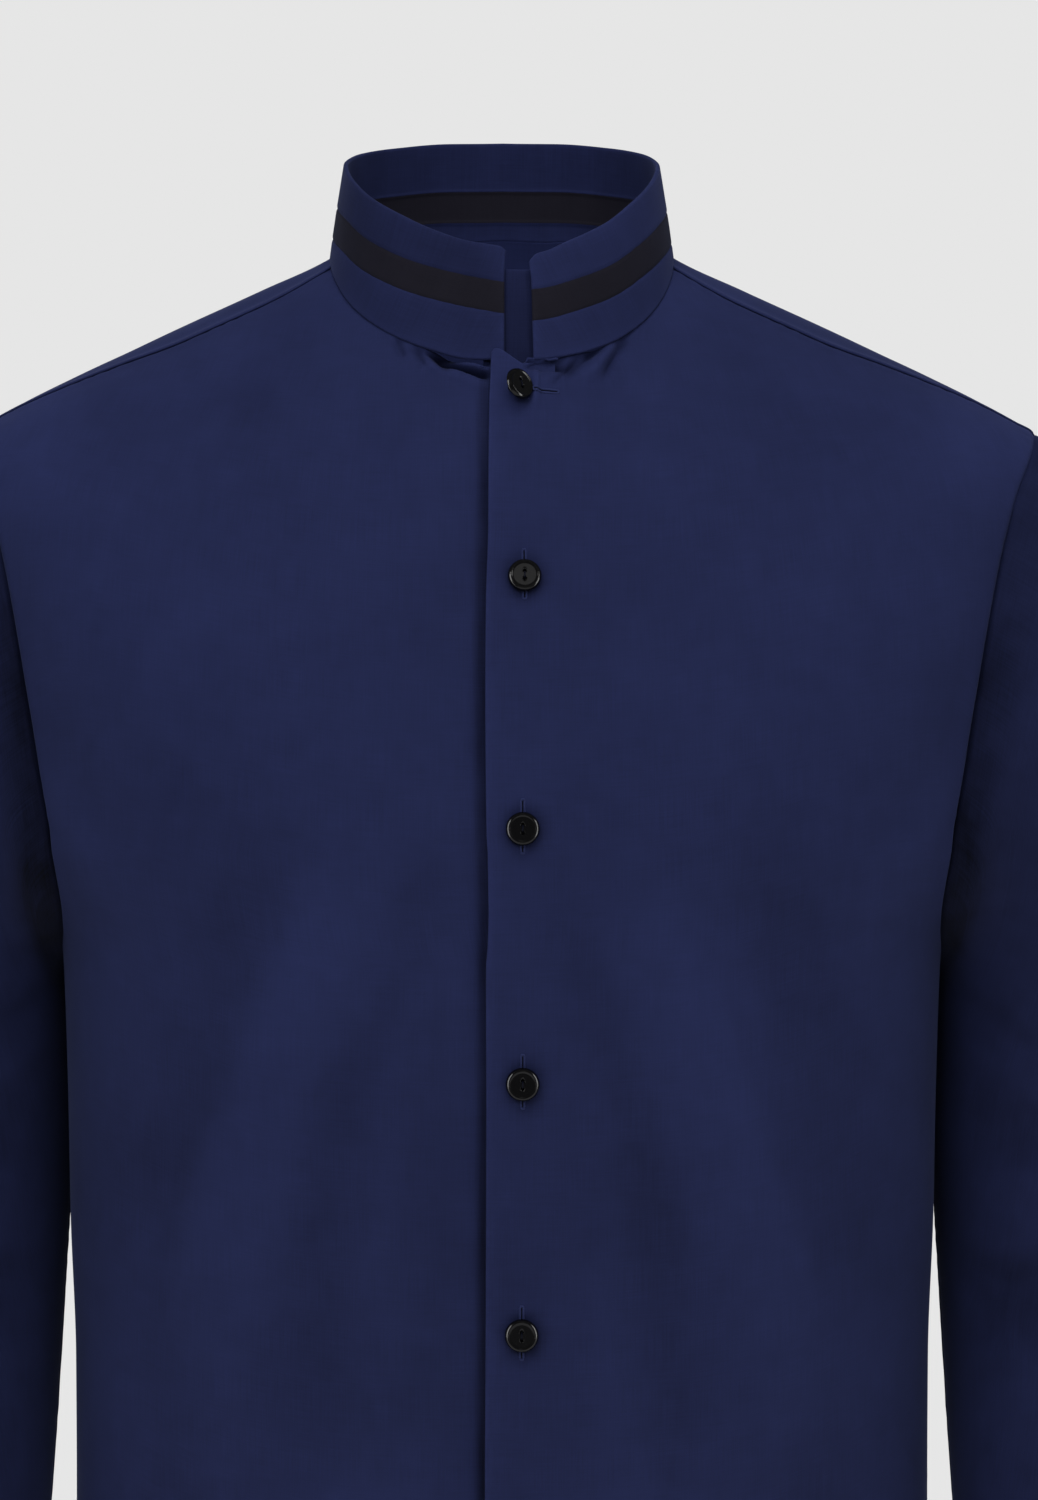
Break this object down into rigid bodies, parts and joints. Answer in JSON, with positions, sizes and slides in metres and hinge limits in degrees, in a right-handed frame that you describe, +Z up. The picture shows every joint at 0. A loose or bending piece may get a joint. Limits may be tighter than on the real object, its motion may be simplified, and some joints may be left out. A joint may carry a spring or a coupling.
{
  "type": "mandarin collar shirt",
  "caption": "Long-sleeved navy shirt with a black stripe round its standing collar, buttoned down the front, filled out with no wearer.",
  "frame": {"origin": "the middle of the neck opening, level with the two points where the collar meets the shoulder line", "axes": "+Z up, as the shirt is worn; the front faces -Y; +X is the wearer's left"},
  "size_m": [0.5824, 0.2449, 0.8128],
  "materials": {
    "navy_poplin": "matt fine plain weave",
    "black_tape": "matt fine rib",
    "black_button": "polished"
  },
  "bodies": {
    "root": {"front_left": "navy_poplin", "front_right": "navy_poplin", "yoke": "navy_poplin", "back": "navy_poplin", "sleeve_left_upper": "navy_poplin", "sleeve_left_lower": "navy_poplin", "sleeve_right_upper": "navy_poplin", "sleeve_right_lower": "navy_poplin", "cuff_left": "navy_poplin", "cuff_right": "navy_poplin", "collar_lower": "navy_poplin", "collar_stripe": "black_tape", "collar_upper": "navy_poplin", "collar_tab": "navy_poplin", "button_1": "black_button", "button_2": "black_button", "button_3": "black_button", "button_4": "black_button", "button_5": "black_button", "button_6": "black_button", "button_7": "black_button", "cuff_button_left": "black_button", "cuff_button_right": "black_button"}
  },
  "joints": []
}
